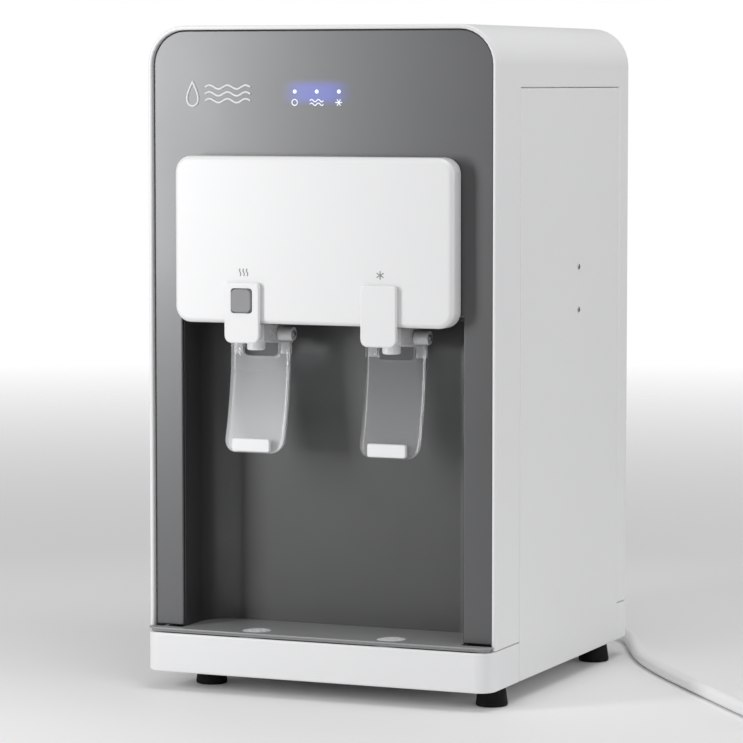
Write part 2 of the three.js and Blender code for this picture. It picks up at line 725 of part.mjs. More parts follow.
place("tap_box_cover", tapBoxCover(), WHITE);
place("child_lock_button", lockButton(), BUTTON_GREY);
for (const [side, x] of [["hot", -TAP_X], ["cold", TAP_X]]) {
  place(`${side}_tap_cover`, tapCover(x, side === "hot"), WHITE);
  place(`${side}_tap_body`, tapBody(x), TAP_GREY);
  place(`${side}_nozzle`, nozzle(x), WHITE);
  place(`${side}_lever`, lever(x), CLEAR);
  place(`${side}_lever_pad`, leverPad(x), WHITE);
  place(`${side}_lever_yoke`, leverYoke(x), TAP_GREY);
  place(`${side}_hinge_pin`, hingePin(x), STEEL);
  place(`${side}_valve_stem`, valveStem(x), WHITE);
  place(`${side}_valve_spring`, valveSpring(x), STEEL);
  place(`${side}_drain_strainer`, drainStrainer(x), WHITE);
}

place("display_window", displayWindow(), WINDOW);
place("display_board", displayBoard(), BOARD);
place("tray_lid", trayLid(), GREY);
place("drip_tank", dripTank(), WHITE);

place("inner_frame", innerFrame(), STEEL);
place("cold_tank", coldTank(), STEEL);
place("cold_tank_foam", coldTankFoam(), FOAM);
place("cooling_module", coolingModule(), ALUMINIUM);
place("heat_sink", heatSink(), ALUMINIUM);
place("fan_frame", fanFrame(), BLACK);
place("fan_rotor", fanRotor(), BLACK);
place("hot_tank", hotTank(), STEEL);
place("heater_band", heaterBand(), STEEL);
place("feed_pump", feedPump(), BLACK);
place("control_board", controlBoard(), BOARD);

const feedPath = [[INLET.x, 116.7, INLET.z], [INLET.x, 108, 53.5], [INLET.x, 98, 52.4], [INLET.x, 88.5, 52]];
const hotPath = [[-50, -113, 312.4], [-50, -112, 326], [-52, -100, 341], [-56, -60, 350], [-60, -22, 347]];
const coldPath = [[50, -113, 312.4], [50, -112, 330], [50, -98, 352], [51, -60, 371], [52, -25, 374]];
place("feed_tube", waterTube(feedPath), HOSE);
place("hot_water_tube", waterTube([...hotPath, [-62, -4, 337], [-62, 0, 330], [-62, 0, 323.5]]), HOSE);
place("cold_water_tube", waterTube([...coldPath, [52, -8, 368], [52, -5, 358], [52, -5, 350.6]]), HOSE);

place("power_inlet", powerInlet(), BLACK);
place("hot_switch", rocker(SWITCHES.hot_switch), RED);
place("cold_switch", rocker(SWITCHES.cold_switch), GREEN);
place("inlet_fitting", inletFitting(), WHITE);
place("drain_plug", drainPlug(), RUBBER);

place("bottle_hose", tube(HOSE_LEAD, HOSE_RADIUS, 34), HOSE);
place("hose_coil", coilRing(), HOSE);
place("hose_tail", tube(HOSE_TAIL, HOSE_RADIUS, 4), HOSE);
const footGroup = new THREE.Group();
footGroup.position.set(335.8, 26.3, 7.1);
footGroup.rotation.z = Math.atan2(11, 13.4);
dispenser.add(footGroup);
place("suction_foot", suctionFoot(), WHITE, footGroup);

export default dispenser;
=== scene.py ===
# %% [markdown]
# # Countertop water dispenser
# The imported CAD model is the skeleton: every size and every hinge comes from it. Here each part gets the
# edges, surfaces and small fittings that the workshop would give it. Units are metres, the front faces -Y.

# %% Load the frame
import math

import bmesh
import bpy
from mathutils import Matrix, Vector
from mathutils.bvhtree import BVHTree


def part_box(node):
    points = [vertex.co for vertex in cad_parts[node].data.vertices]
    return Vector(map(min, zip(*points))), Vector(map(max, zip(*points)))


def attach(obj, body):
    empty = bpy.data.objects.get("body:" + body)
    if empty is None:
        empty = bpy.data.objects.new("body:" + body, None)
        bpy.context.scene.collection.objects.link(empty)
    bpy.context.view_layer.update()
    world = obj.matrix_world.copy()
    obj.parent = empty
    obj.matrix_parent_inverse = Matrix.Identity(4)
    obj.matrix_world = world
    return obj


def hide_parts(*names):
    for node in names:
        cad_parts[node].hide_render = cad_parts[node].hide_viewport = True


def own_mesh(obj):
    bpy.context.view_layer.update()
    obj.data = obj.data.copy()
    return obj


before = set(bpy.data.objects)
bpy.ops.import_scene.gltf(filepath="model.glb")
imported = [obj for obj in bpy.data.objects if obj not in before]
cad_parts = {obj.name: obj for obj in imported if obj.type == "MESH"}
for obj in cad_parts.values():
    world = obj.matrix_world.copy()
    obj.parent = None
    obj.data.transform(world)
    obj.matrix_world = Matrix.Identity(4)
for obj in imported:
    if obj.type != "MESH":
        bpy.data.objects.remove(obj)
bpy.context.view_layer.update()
MM = 0.001

# %% [markdown]
# A long lens from a standing distance keeps the upright edges nearly parallel. The eye is a little below the
# top of the housing, so the tray lid is seen from above and the top only edge-on.

# %% Camera
EYE = Vector((0.979, -2.3316, 0.418))
LOOK_AT = Vector((-0.0159, 0.0, 0.2133))
lens_data = bpy.data.cameras.new("camera")
lens_data.lens = 173.9
lens_data.sensor_width = 36.0
camera = bpy.data.objects.new("camera", lens_data)
camera.location = EYE
camera.rotation_euler = (LOOK_AT - EYE).to_track_quat("-Z", "Y").to_euler()
bpy.context.scene.collection.objects.link(camera)
bpy.context.scene.camera = camera
print("camera distance:", round((LOOK_AT - EYE).length, 3))

# %% [markdown]
# Most finishes here are moulded plastic or sheet metal, and none of them is one flat colour. One helper
# builds the node tree that they share: a slow noise that shifts the colour a little, a finer one that makes
# the gloss uneven, and a fine bump for the moulded or rolled texture.

# %% Shared material helper
def link(tree, a, b):
    tree.links.new(a, b)


def noise(tree, coords, scale, detail=3.0, stretch=(1, 1, 1)):
    mapping = tree.nodes.new("ShaderNodeMapping")
    mapping.inputs["Scale"].default_value = stretch
    link(tree, coords, mapping.inputs["Vector"])
    node = tree.nodes.new("ShaderNodeTexNoise")
    node.inputs["Scale"].default_value = scale
    node.inputs["Detail"].default_value = detail
    link(tree, mapping.outputs["Vector"], node.inputs["Vector"])
    return node.outputs["Fac"]


def remap(tree, value, low, high, start=0.3, end=0.7):
    node = tree.nodes.new("ShaderNodeMapRange")
    node.inputs["From Min"].default_value = start
    node.inputs["From Max"].default_value = end
    node.inputs["To Min"].default_value = low
    node.inputs["To Max"].default_value = high
    link(tree, value, node.inputs["Value"])
    return node.outputs["Result"]


def blend_colours(tree, factor, first, second):
    node = tree.nodes.new("ShaderNodeMix")
    node.data_type = "RGBA"
    for socket, value in ((node.inputs["A"], first), (node.inputs["B"], second)):
        if isinstance(value, tuple):
            socket.default_value = (*value, 1)
        else:
            link(tree, value, socket)
    link(tree, factor, node.inputs["Factor"])
    return node.outputs["Result"]


def make_finish(name, colour, rough, metallic=0.0, shade=0.93, patch=9.0, grain=700.0, bump=0.03,
                stretch=(1, 1, 1), rough_spread=0.06, edge_wear=0.0):
    material = bpy.data.materials.new(name)
    material.use_nodes = True
    tree = material.node_tree
    shader = tree.nodes["Principled BSDF"]
    coords = tree.nodes.new("ShaderNodeTexCoord").outputs["Object"]
    patches = noise(tree, coords, patch, 4.0)
    fine = noise(tree, coords, grain, 2.0, stretch)
    darker = tuple(c * shade for c in colour)
    tint = blend_colours(tree, remap(tree, patches, 0, 1), darker, colour)
    if edge_wear:
        geometry = tree.nodes.new("ShaderNodeNewGeometry")
        edge = remap(tree, geometry.outputs["Pointiness"], 0, edge_wear, 0.52, 0.6)
        tint = blend_colours(tree, edge, tint, tuple(min(1, c * 1.25 + 0.03) for c in colour))
    link(tree, tint, shader.inputs["Base Color"])
    gloss = noise(tree, coords, patch * 5, 5.0, stretch)
    link(tree, remap(tree, gloss, rough - rough_spread, rough + rough_spread), shader.inputs["Roughness"])
    shader.inputs["Metallic"].default_value = metallic
    if bump:
        relief = tree.nodes.new("ShaderNodeBump")
        relief.inputs["Strength"].default_value = bump
        relief.inputs["Distance"].default_value = 0.0004
        link(tree, fine, relief.inputs["Height"])
        link(tree, relief.outputs["Normal"], shader.inputs["Normal"])
    return material


def principled(material):
    return material.node_tree.nodes["Principled BSDF"]


# %% [markdown]
# The white housing is injection-moulded and fairly glossy, so it has a faint orange-peel texture. The front
# panel is the eye-catcher: silver-grey metallic paint whose satin gloss catches the light on one side and
# falls off to a dark grey on the other. Only a partly metallic shader gives that wide soft falloff.

# %% Housing finishes
shell_white = make_finish("shell_white", (0.82, 0.825, 0.83), 0.34, shade=0.985, patch=5, grain=900,
                          bump=0.006, rough_spread=0.03)
panel_grey = make_finish("panel_grey", (0.139, 0.141, 0.143), 0.38, metallic=1.0, shade=0.96, patch=3,
                         grain=2600, bump=0.015, rough_spread=0.015)
lid_grey = make_finish("lid_grey", (0.325, 0.33, 0.332), 0.42, metallic=0.2, shade=0.94, grain=1500,
                       bump=0.015)
niche_dark = make_finish("niche_dark", (0.1, 0.102, 0.102), 0.4, metallic=0.55, shade=0.93, grain=1800,
                         bump=0.02)
tap_grey = make_finish("tap_grey", (0.6, 0.605, 0.61), 0.25, shade=0.9, grain=1300, bump=0.02,
                       edge_wear=0.4)
button_grey = make_finish("button_grey", (0.25, 0.253, 0.257), 0.4, shade=0.93, grain=1500, bump=0.02,
                          edge_wear=0.5)
nozzle_white = make_finish("nozzle_white", (0.84, 0.85, 0.86), 0.25, shade=0.97, grain=900, bump=0.006)

# %% [markdown]
# Rubber feet, sheet steel, cast alloy and bead foam differ mainly in scale: rubber is a fine dry bump, rolled
# steel is a noise that is stretched along the rolling direction, and bead foam is a pattern of round cells.

# %% Working finishes
rubber_black = make_finish("rubber_black", (0.006, 0.006, 0.0065), 0.7, shade=0.7, grain=1600, bump=0.08)
principled(rubber_black).inputs["Specular IOR Level"].default_value = 0.2
stainless = make_finish("stainless", (0.55, 0.55, 0.56), 0.3, metallic=1.0, grain=260, bump=0.03,
                        stretch=(1, 1, 14))
alloy = make_finish("alloy", (0.62, 0.63, 0.64), 0.42, metallic=1.0, shade=0.88, grain=900, bump=0.04)
black_plastic = make_finish("black_plastic", (0.02, 0.02, 0.022), 0.5, shade=0.8, grain=1500, bump=0.05)
switch_red = make_finish("switch_red", (0.5, 0.02, 0.015), 0.3, shade=0.9, grain=900, bump=0.02)
switch_green = make_finish("switch_green", (0.02, 0.26, 0.09), 0.3, shade=0.9, grain=900, bump=0.02)
pad_white = make_finish("pad_white", (0.86, 0.87, 0.88), 0.5, shade=0.97, grain=1200, bump=0.01)
foam_white = make_finish("foam_white", (0.78, 0.78, 0.74), 0.85, shade=0.9, grain=240, bump=0.3)
circuit_green = make_finish("circuit_green", (0.015, 0.13, 0.05), 0.4, shade=0.6, patch=120, grain=400,
                            bump=0.2)

# %% [markdown]
# The cup levers are acrylic. A real glass shader bends the light, so the cut edges light up on their own,
# and a little uneven gloss stands for the wipe marks of daily use. The hot one is milkier than the cold one.
# Less light goes through each lever at the foot than at the hinge. This is a painted brightening of the lower
# part, where the light from the front falls. The rim of a pressed strip gets a finish of its own that lets
# almost no light through, a painted highlight along its edges. The hose is milky polyethylene. It scatters
# nearly all light back, so a smooth bright satin surface shows it without the noise of real scattering.

# %% Clear and milky finishes
clear_acrylic = make_finish("clear_acrylic", (0.94, 0.95, 0.96), 0.08, shade=0.985, patch=22, grain=160,
                            bump=0.002, rough_spread=0.03)
# The rim finish is a painted highlight: it stands for the light piped along the cut edges.
acrylic_rim_highlight = make_finish("acrylic_rim_highlight", (0.95, 0.96, 0.97), 0.16, shade=0.97, patch=60, grain=400,
                          bump=0.003, rough_spread=0.05)
milky_acrylic = clear_acrylic.copy()
milky_acrylic.name = "milky_acrylic"
lever_low, lever_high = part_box("hot_lever")
# Transmission falls towards the foot of each lever: a painted brightening where the front light falls.
for acrylic, foot_share, hinge_share in ((clear_acrylic, 0.84, 0.97), (milky_acrylic, 0.5, 0.82),
                                         (acrylic_rim_highlight, 0.06, 0.12)):
    tree = acrylic.node_tree
    height = tree.nodes.new("ShaderNodeSeparateXYZ")
    link(tree, tree.nodes.new("ShaderNodeTexCoord").outputs["Object"], height.inputs["Vector"])
    clear_share = remap(tree, height.outputs["Z"], foot_share, hinge_share, lever_low.z, lever_high.z)
    link(tree, clear_share, principled(acrylic).inputs["Transmission Weight"])
    principled(acrylic).inputs["IOR"].default_value = 1.49
hose_milky = make_finish("hose_milky", (0.84, 0.85, 0.84), 0.42, shade=0.985, patch=12, bump=0.0,
                         rough_spread=0.02)


def make_glow(name, colour, strength):
    material = make_finish(name, colour, 0.25, grain=800, bump=0.01)
    shader = principled(material)
    shader.inputs["Emission Color"].default_value = (*colour, 1)
    shader.inputs["Emission Strength"].default_value = strength
    return material


lamp_blue = make_glow("lamp_blue", (0.5, 0.6, 1.0), 1.3)
icon_white = make_glow("icon_white", (0.75, 0.78, 0.85), 0.45)

# %% [markdown]
# The display is not a separate glass: the lamps shine through a thinned patch of the panel, so the patch is
# panel grey with a blue haze that fades with the distance from the row of lamps.

# %% Display patch
window_low, window_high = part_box("display_window")
PANEL_Y = window_low.y
LAMP_Z = window_high.z - 0.0098
LAMP_X = [(window_low.x + window_high.x) / 2 + 0.0003 + 0.0162 * step for step in (-1, 0, 1)]
HAZE_MIDDLE = (LAMP_X[1] - 0.0006, LAMP_Z - 0.0004)
HAZE_REACH = (0.0305, 0.0108)


def fade(tree, distance, reach):
    node = tree.nodes.new("ShaderNodeMapRange")
    node.interpolation_type = "SMOOTHERSTEP"
    node.inputs["From Min"].default_value = reach
    node.inputs["From Max"].default_value = reach * 0.2
    link(tree, distance, node.inputs["Value"])
    return node.outputs["Result"]


def math_node(tree, operation, first, second=None):
    node = tree.nodes.new("ShaderNodeMath")
    node.operation = operation
    for socket, value in zip(node.inputs, (first, second)):
        if isinstance(value, (int, float)):
            socket.default_value = value
        elif value is not None:
            link(tree, value, socket)
    return node.outputs["Value"]


def make_display():
    material = panel_grey.copy()
    material.name = "display_patch"
    tree = material.node_tree
    split = tree.nodes.new("ShaderNodeSeparateXYZ")
    link(tree, tree.nodes.new("ShaderNodeTexCoord").outputs["Object"], split.inputs["Vector"])
    haze = []
    for axis, middle, reach in zip("XZ", HAZE_MIDDLE, HAZE_REACH):
        away = math_node(tree, "ABSOLUTE", math_node(tree, "SUBTRACT", split.outputs[axis], middle))
        haze.append(fade(tree, away, reach))
    glow = math_node(tree, "MULTIPLY", math_node(tree, "MULTIPLY", haze[0], haze[1]), 0.35)
    shader = tree.nodes["Principled BSDF"]
    shader.inputs["Emission Color"].default_value = (0.03, 0.09, 1.0, 1)
    link(tree, glow, shader.inputs["Emission Strength"])
    return material


display_patch = make_display()
print("finishes:", len(bpy.data.materials))

# %% [markdown]
# A part that comes out of a mould has no razor-sharp edge. `refined` takes the shape of a CAD node, merges
# its facets back into whole faces, rounds every sharp edge by a small radius and evens the shading, which
# is what makes light run along the edges.

# %% Piece helpers
SMOOTH_BELOW = math.radians(28)
FLAT_BELOW = math.radians(0.4)
ROUND_ABOVE = math.radians(32)
BEVEL_STEPS = 3
NEAR = 0.001


def add_piece(name, mesh, finish, body, *nodes):
    piece = bpy.data.objects.new(name, mesh)
    bpy.context.scene.collection.objects.link(piece)
    piece.data.materials.clear()
    piece.data.materials.append(finish)
    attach(piece, body)
    if nodes:
        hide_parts(*nodes)
    return piece


def shade(piece):
    piece.data.shade_smooth()
    piece.data.set_sharp_from_angle(angle=SMOOTH_BELOW)
    even = piece.modifiers.new("even_normals", "WEIGHTED_NORMAL")
    even.keep_sharp = True
    return piece


def to_mesh(name, bm):
    bmesh.ops.recalc_face_normals(bm, faces=bm.faces)
    mesh = bpy.data.meshes.new(name)
    bm.to_mesh(mesh)
    bm.free()
    return mesh


def inside(point, low, high):
    return all(a - NEAR < p < b + NEAR for p, a, b in zip(point, low, high))


def refined(node, finish, body="housing", radius=0.0006, crisp=None, shape=None):
    bm = bmesh.new()
    bm.from_mesh(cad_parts[node].data)
    bmesh.ops.remove_doubles(bm, verts=bm.verts, dist=1e-6)
    bmesh.ops.dissolve_limit(bm, angle_limit=FLAT_BELOW, verts=bm.verts, edges=bm.edges)
    if shape:
        shape(bm)
    sharp = [e for e in bm.edges if e.is_manifold and e.calc_face_angle(0) > ROUND_ABOVE]
    if crisp:
        sharp = [e for e in sharp if not inside((e.verts[0].co + e.verts[1].co) / 2, *crisp)]
    if radius:
        bmesh.ops.bevel(bm, geom=sharp, offset=radius, segments=BEVEL_STEPS, profile=0.5, affect="EDGES",
                        clamp_overlap=True)
    return shade(add_piece(node + "_fine", to_mesh(node + "_fine", bm), finish, body, node))


# %% [markdown]
# The bottle hose is one length of milky tube. It leaves the fitting straight back, comes down in a wide turn,
# runs along the worktop past the rear foot, and its spare length lies in a coil of one and a half turns.
# A Bezier curve with automatic handles goes through every point that the route was planned with.

# %% Bottle hose
HOSE_D = 0.0095
LEAD_MM = [
    (20, 136, 54), (20, 148, 54), (20, 160, 54), (23, 177.1, 52.4), (31.7, 192.1, 47.5),
    (45, 203.3, 39.3), (61.3, 209.2, 27.9), (78.7, 209.2, 17.2), (95, 203.3, 9.9), (108.3, 192.1, 5.8),
    (115.5, 181, 4.85), (124, 163, 4.85), (134, 140.5, 4.85), (151, 105, 4.85), (168, 77, 4.85),
    (187, 49.5, 4.85), (208, 21.5, 4.85), (232, -9.5, 4.85), (258, -42.5, 4.85), (286.4, -78.4, 4.85),
]
TAIL_MM = [(378.4, -25.2, 13.7), (366.4, -10.6, 12), (357, 0.9, 9), (347, 12.6, 7.3), (336, 26, 7.1)]
COIL_MIDDLE, COIL_RADIUS = Vector((0.349, -0.072)), 0.0525
COIL_START, COIL_TURNS, POINTS_A_TURN = math.radians(-140.3), 1.5, 16
LOWER_LAYER, LAYER_STEP = 0.00485, 0.0097


def coil_points():
    points = []
    for i in range(int(COIL_TURNS * POINTS_A_TURN) + 1):
        turned = i / POINTS_A_TURN
        angle = COIL_START + turned * 2 * math.pi
        climb = min(1, max(0, (turned - 0.82) / 0.3))
        z = LOWER_LAYER + LAYER_STEP * climb * climb * (3 - 2 * climb)
        points.append((COIL_MIDDLE.x + COIL_RADIUS * math.cos(angle),
                       COIL_MIDDLE.y + COIL_RADIUS * math.sin(angle), z))
    return points


def curve_piece(name, points, radius, finish, body, *nodes, ring=6):
    data = bpy.data.curves.new(name, "CURVE")
    data.dimensions = "3D"
    data.bevel_depth = radius
    data.bevel_resolution = ring
    data.resolution_u = 8
    data.use_fill_caps = True
    spline = data.splines.new("BEZIER")
    spline.bezier_points.add(len(points) - 1)
    for knot, point in zip(spline.bezier_points, points):
        knot.co = point
        knot.handle_left_type = knot.handle_right_type = "AUTO"
    return add_piece(name, data, finish, body, *nodes)


def scaled(points):
    return [tuple(v * MM for v in point) for point in points]


hose_route = scaled(LEAD_MM) + coil_points() + scaled(TAIL_MM)


def route_length(points):
    spans = zip(points, points[1:])
    return sum((Vector(b) - Vector(a)).length for a, b in spans)


bottle_hose = curve_piece("bottle_hose_tube", hose_route, HOSE_D / 2, hose_milky, "housing",
                          "bottle_hose", "hose_coil", "hose_tail", ring=8)
print("hose route:", round(route_length(hose_route), 4))

# %% [markdown]
# The hose ends in a weighted strainer that lies on the bottle's bottom. Its wall is cut by slots so that
# water gets in from all sides: a ring profile is turned into a body, and every other strip of the middle
# band is pushed inwards.

# %% Suction foot
FOOT_END = Vector((0.3358, 0.0263, 0.0071))
FOOT_TURN = math.atan2(11, 13.4)


def turned_mesh(name, profile, sides=48, axis="y", origin=(0, 0, 0)):
    bm = bmesh.new()
    rings = []
    for radius, along in profile:
        ring = []
        for i in range(sides):
            angle = 2 * math.pi * i / sides
            a, b = radius * math.cos(angle), radius * math.sin(angle)
            spot = {"x": (along, a, b), "y": (b, along, a), "z": (a, b, along)}[axis]
            ring.append(bm.verts.new(Vector(spot) + Vector(origin)))
        rings.append(ring)
    for low, high in zip(rings, rings[1:]):
        for i in range(sides):
            j = (i + 1) % sides
            bm.faces.new((low[i], low[j], high[j], high[i]))
    if profile[0] != profile[-1]:
        bm.faces.new(rings[0])
        bm.faces.new(rings[-1])
    else:
        bmesh.ops.remove_doubles(bm, verts=bm.verts, dist=1e-7)
    return to_mesh(name, bm)


def suction_strainer():
    profile = [(0.0056, 0), (0.0064, 0.0004), (0.0069, 0.0014), (0.0070, 0.003), (0.0070, 0.0075)]
    profile += [(0.0063, 0.0079), (0.0063, 0.0087), (0.0070, 0.0091)]
    for start in (0.0115, 0.0155, 0.0195, 0.0235):
        profile += [(0.0070, start), (0.0058, start + 0.0003),
                    (0.0058, start + 0.0017), (0.0070, start + 0.002)]
    profile += [(0.0070, 0.0295), (0.0066, 0.0312), (0.0055, 0.0328), (0.004, 0.033)]
    mesh = turned_mesh("suction_strainer", profile, 40)
    mesh.transform(Matrix.Translation(FOOT_END) @ Matrix.Rotation(FOOT_TURN, 4, "Z"))
    return mesh


strainer = shade(add_piece("suction_strainer", suction_strainer(), nozzle_white, "housing", "suction_foot"))


TIE_ANGLE, TIE_CLEAR, TIE_THICK, TIE_HALF_WIDTH = math.radians(-30), 0.0003, 0.0007, 0.0021


def coil_tie(steps=12):
    angle, half = TIE_ANGLE, TIE_HALF_WIDTH
    outward = Vector((math.cos(angle), math.sin(angle), 0))
    along = outward.cross(Vector((0, 0, 1)))
    spot = Vector((*COIL_MIDDLE, 0)) + COIL_RADIUS * outward
    bm = bmesh.new()
    loops = []
    for shift, grow in ((-half, 0), (-half, TIE_THICK), (half, TIE_THICK), (half, 0)):
        radius = HOSE_D / 2 + TIE_CLEAR + grow
        loop = []
        for centre_z, start in ((LOWER_LAYER + LAYER_STEP, 0), (LOWER_LAYER, math.pi)):
            for i in range(steps + 1):
                a = start + math.pi * i / steps
                z = max(0.0001, centre_z + radius * math.sin(a))
                place = spot + outward * radius * math.cos(a) + along * shift
                loop.append(bm.verts.new((place.x, place.y, z)))
        loops.append(loop)
    for first, second in zip(loops, loops[1:] + loops[:1]):
        for i in range(len(first)):
            j = (i + 1) % len(first)
            bm.faces.new((first[i], first[j], second[j], second[i]))
    buckle = Matrix.Translation(spot + outward * 0.0062 + Vector((0, 0, LAYER_STEP)))
    turn = Matrix.Rotation(angle, 4, "Z") @ Matrix.Diagonal((0.0024, 0.0052, 0.0046, 1))
    made = bmesh.ops.create_cube(bm, size=1, matrix=buckle @ turn)
    edges = {e for v in made["verts"] for e in v.link_edges}
    bmesh.ops.bevel(bm, geom=list(edges), offset=0.0004, segments=2, affect="EDGES")
    return to_mesh("coil_tie", bm)


tie = shade(add_piece("coil_tie", coil_tie(), black_plastic, "housing"))

# %% [markdown]
# The housing parts only need their moulded radii. The tall cover and the base get a larger one than the
# back panel, because a hand meets them. The front panel keeps a crisp edge round the display, where the
# clear cover has to sit flush and without a visible joint.

# %% Housing
for node, finish, radius in (
    ("outer_cover", shell_white, 0.0013),
    ("side_panel_right", shell_white, 0.0008),
    ("side_panel_left", shell_white, 0.0008),
    ("back_panel", shell_white, 0.0004),
    ("base_tray", shell_white, 0.0014),
    ("niche_liner", niche_dark, 0.0005),
    ("tap_box_cover", shell_white, 0.001),
    ("cold_tap_cover", shell_white, 0.0007),
):
    refined(node, finish, radius=radius)


BUTTON_CORNER = 0.0022


def round_button(bm):
    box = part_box("child_lock_button")
    corners = [e for e in bm.edges if abs(e.verts[0].co.y - e.verts[1].co.y) > e.calc_length() * 0.99
               and all(inside(v.co, *box) for v in e.verts)]
    bmesh.ops.bevel(bm, geom=corners, offset=BUTTON_CORNER, segments=6, profile=0.5, affect="EDGES")
    print("button corners rounded:", len(corners))


refined("hot_tap_cover", shell_white, radius=0.0007, shape=round_button)
refined("front_panel", panel_grey, radius=0.0011, crisp=(window_low, window_high))
for corner in ("front_left", "front_right", "rear_left", "rear_right"):
    refined("foot_" + corner, rubber_black, radius=0.0008)

# %% [markdown]
# The display cover is printed over with the panel's own paint, so only its lamps and icons show. The CAD
# part leaves a fitting gap round it. The lacquer closes that gap on the real one, and here the piece is
# widened to the edge of its hole. The lamps are shallow domes, the icons thin raised lines.

# %% Display cover and lamps
FITTING_GAP = 0.00029
display_cover = refined("display_window", display_patch, radius=0)
window_middle = (window_low + window_high) / 2
for vertex in display_cover.data.vertices:
    vertex.co.x += math.copysign(FITTING_GAP, vertex.co.x - window_middle.x)
    vertex.co.z += math.copysign(FITTING_GAP, vertex.co.z - window_middle.z)


def dome(name, spot, radius, height, finish):
    steps = [math.radians(a) for a in (0, 15, 30, 45, 60, 75, 88)]
    profile = [(radius * math.cos(a), -height * math.sin(a)) for a in steps]
    mesh = turned_mesh(name, [(radius, 0.0003)] + profile, 24, "y", spot)
    return shade(add_piece(name, mesh, finish, "housing"))


for number, x in enumerate(LAMP_X):
    dome(f"display_lamp_{number}", (x, PANEL_Y, LAMP_Z), 0.00135, 0.00035, lamp_blue)


def drawn_lines(name, strokes, width, finish, body="housing", closed=()):
    data = bpy.data.curves.new(name, "CURVE")
    data.dimensions = "3D"
    data.bevel_depth = width / 2
    data.bevel_resolution = 1
    data.resolution_u = 4
    data.use_fill_caps = True
    for number, points in enumerate(strokes):
        spline = data.splines.new("POLY")
        spline.points.add(len(points) - 1)
        for knot, point in zip(spline.points, points):
            knot.co = (*point, 1)
        spline.use_cyclic_u = number in closed
    return add_piece(name, data, finish, body)


def circle_stroke(middle, radius, steps=20):
    x, y, z = middle
    angles = [math.radians(360 * i / steps) for i in range(steps + 1)]
    return [(x + radius * math.cos(a), y, z + radius * math.sin(a)) for a in angles]


def wave_stroke(start, length, height, waves=2, steps=24, upright=False):
    points = []
    for i in range(steps + 1):
        along = length * i / steps
        side = height * math.sin(2 * math.pi * waves * i / steps)
        across, up = (side, along) if upright else (along, side)
        points.append((start[0] + across, start[1], start[2] + up))
    return points


def drop_stroke(middle, height, steps=28):
    x, y, z = middle
    points = []
    for i in range(steps + 1):
        t = 2 * math.pi * i / steps
        points.append((x + 0.36 * height * math.sin(t) * math.sin(t / 2) ** 1.4, y,
                       z + 0.5 * height * math.cos(t)))
    return points


icon_z = LAMP_Z - 0.0073
drawn_lines("icon_heating", [circle_stroke((LAMP_X[0], PANEL_Y, icon_z), 0.002)], 0.0008, icon_white,
            closed=(0,))
drawn_lines("icon_water", [wave_stroke((LAMP_X[1] - 0.005, PANEL_Y, icon_z + s), 0.01, 0.0008)
                           for s in (-0.0012, 0.0012)], 0.0008, icon_white)
drawn_lines("icon_cooling", [[(LAMP_X[2] + 0.0025 * math.cos(a), PANEL_Y, icon_z + 0.0025 * math.sin(a)),
                              (LAMP_X[2] - 0.0025 * math.cos(a), PANEL_Y, icon_z - 0.0025 * math.sin(a))]
                             for a in (0, math.pi / 3, 2 * math.pi / 3)], 0.0008, icon_white)

# %% [markdown]
# A plain water mark is pad-printed beside the display: a drop and three waves. The printed film is a few
# hundredths of a millimetre thick on the real one. A thin half-sunk bead casts almost no shadow and cannot
# flicker against the panel as a coplanar face would.

# %% Printed marks
print_white = make_finish("print_white", (0.8, 0.81, 0.82), 0.4, shade=0.96, grain=900, bump=0.005)
print_grey = make_finish("print_grey", (0.3, 0.3, 0.31), 0.45, shade=0.9, grain=900, bump=0.005)
mark_x = window_low.x - 0.0655
mark_z = window_middle.z - 0.001
drawn_lines("water_mark_drop", [drop_stroke((mark_x, PANEL_Y, mark_z), 0.0165)], 0.0015, print_white,
            closed=(0,))
drawn_lines("water_mark_waves", [wave_stroke((mark_x + 0.0095, PANEL_Y, mark_z + s), 0.034, 0.0013, 2.5, 40)
                                 for s in (-0.0046, 0, 0.0046)], 0.0014, print_white)


def label_spot(cover):
    low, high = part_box(cover)
    return ((low.x + high.x) / 2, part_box("tap_box_cover")[0].y, high.z + 0.0068)


x, y, z = label_spot("hot_tap_cover")
drawn_lines("label_hot", [wave_stroke((x + s, y, z - 0.0024), 0.0048, 0.0005, 1, 12, upright=True)
                          for s in (-0.0026, 0, 0.0026)], 0.0007, print_grey)
x, y, z = label_spot("cold_tap_cover")
drawn_lines("label_cold", [[(x + 0.0028 * math.cos(a), y, z + 0.0028 * math.sin(a)),
                            (x - 0.0028 * math.cos(a), y, z - 0.0028 * math.sin(a))]
                           for a in (math.pi / 2, math.pi / 6, -math.pi / 6)], 0.0007, print_grey)

# %% [markdown]
# The cup levers are pressed acrylic strips with a thicker rim. The rim is what catches the light, so the
# front faces of the CAD strip are inset by the rim's width and the field inside is sunk.

# %% Cup levers
RIM_WIDTH, RIM_HEIGHT = 0.0024, 0.0009


def sunk_field(bm):
    front = [f for f in bm.faces if f.normal.y < -0.7]
    bmesh.ops.inset_region(bm, faces=front, thickness=RIM_WIDTH, depth=-RIM_HEIGHT, use_even_offset=True)
    # Rim and side faces get the second finish, the painted rim highlight.
    for face in bm.faces:
        face.material_index = 0 if face in front or face.normal.y > 0.7 else 1


for side, acrylic in (("hot", milky_acrylic), ("cold", clear_acrylic)):
    lever = refined(side + "_lever", acrylic, side + "_lever_set", 0.0006, shape=sunk_field)
    lever.data.materials.append(acrylic_rim_highlight)
    print(side, "lever faces:", len(lever.data.polygons))

# %% [markdown]
# The parts that move or come off keep their CAD shape and only get broken edges. The lid is one moulding
# whose lower step is painted black: painted shade for the shadow gap under its front edge. A black ring lies
# in the gap round each drain strainer as a painted shadow round the disc: it is a bead that is sunk until
# only its back shows.

# %% Moving covers and buttons
refined("child_lock_button", button_grey, "child_lock", 0.0006, shape=round_button)


LID_LIP = 0.00135


